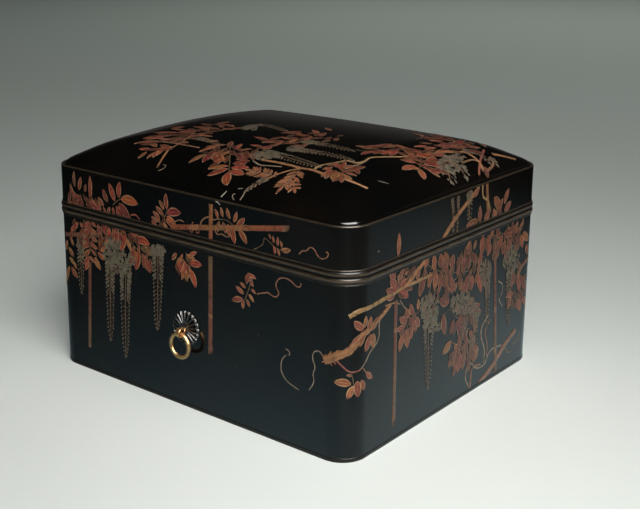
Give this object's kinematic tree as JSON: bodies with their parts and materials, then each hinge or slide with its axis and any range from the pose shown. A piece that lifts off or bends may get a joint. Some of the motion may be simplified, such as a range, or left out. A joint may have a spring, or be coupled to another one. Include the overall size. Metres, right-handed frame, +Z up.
{
  "type": "cosmetic box",
  "caption": "Black lacquered wooden cosmetic box with rounded corners, lift-off domed lid, inner tray and a hanging cord ring on a flower rosette at the front and the back.",
  "frame": {"origin": "centre of the base, on the surface that the box stands on", "axes": "+Z up, +X along the long side, -Y the front with its ring"},
  "size_m": [0.3026, 0.2818, 0.1938],
  "materials": {
    "black_lacquer": "polished black lacquer over wood",
    "gold_lacquer": "worn gold-dusted lacquer over wood",
    "dark_metal": "dark patinated copper alloy with rubbed tips",
    "gilt_metal": "gilt, worn"
  },
  "bodies": {
    "box": {"base_board": "black_lacquer", "foot_rim": "black_lacquer", "body_front_board": "black_lacquer", "body_back_board": "black_lacquer", "body_left_board": "black_lacquer", "body_right_board": "black_lacquer", "body_front_left_corner": "black_lacquer", "body_front_right_corner": "black_lacquer", "body_back_left_corner": "black_lacquer", "body_back_right_corner": "black_lacquer", "lip_front_strip": "black_lacquer", "lip_back_strip": "black_lacquer", "lip_left_strip": "black_lacquer", "lip_right_strip": "black_lacquer", "body_rim": "gold_lacquer", "rosette_front": "dark_metal", "rosette_back": "dark_metal", "ring_eye_front": "gilt_metal", "ring_eye_back": "gilt_metal", "inner_washer_front": "gilt_metal", "inner_washer_back": "gilt_metal"},
    "lid": {"lid_rim": "gold_lacquer", "lid_front_board": "black_lacquer", "lid_back_board": "black_lacquer", "lid_left_board": "black_lacquer", "lid_right_board": "black_lacquer", "lid_front_left_corner": "black_lacquer", "lid_front_right_corner": "black_lacquer", "lid_back_left_corner": "black_lacquer", "lid_back_right_corner": "black_lacquer", "lid_top_board": "black_lacquer", "lid_shoulder_bead": "gold_lacquer"},
    "tray": {"tray_floor": "black_lacquer", "tray_wall": "black_lacquer", "tray_flange": "gold_lacquer"},
    "front_ring": {"cord_ring_front": "gilt_metal"},
    "back_ring": {"cord_ring_back": "gilt_metal"}
  },
  "joints": [
    {"name": "lid_lift", "type": "slide", "parent": "box", "child": "lid", "axis": [0, 0, 1], "range_m": [0, 0.16]},
    {"name": "tray_lift", "type": "slide", "parent": "box", "child": "tray", "axis": [0, 0, 1], "range_m": [0, 0.08]},
    {"name": "front_ring_swing", "type": "hinge", "parent": "box", "child": "front_ring", "pos_m": [0, -0.1374, 0.0611], "axis": [-1, 0, 0], "range_deg": [-15, 165]},
    {"name": "back_ring_swing", "type": "hinge", "parent": "box", "child": "back_ring", "pos_m": [0, 0.1374, 0.0611], "axis": [1, 0, 0], "range_deg": [-15, 165]}
  ],
  "couplings": [
    {"joint": "tray_lift", "follows": "lid_lift", "ratio": 0.5}
  ]
}
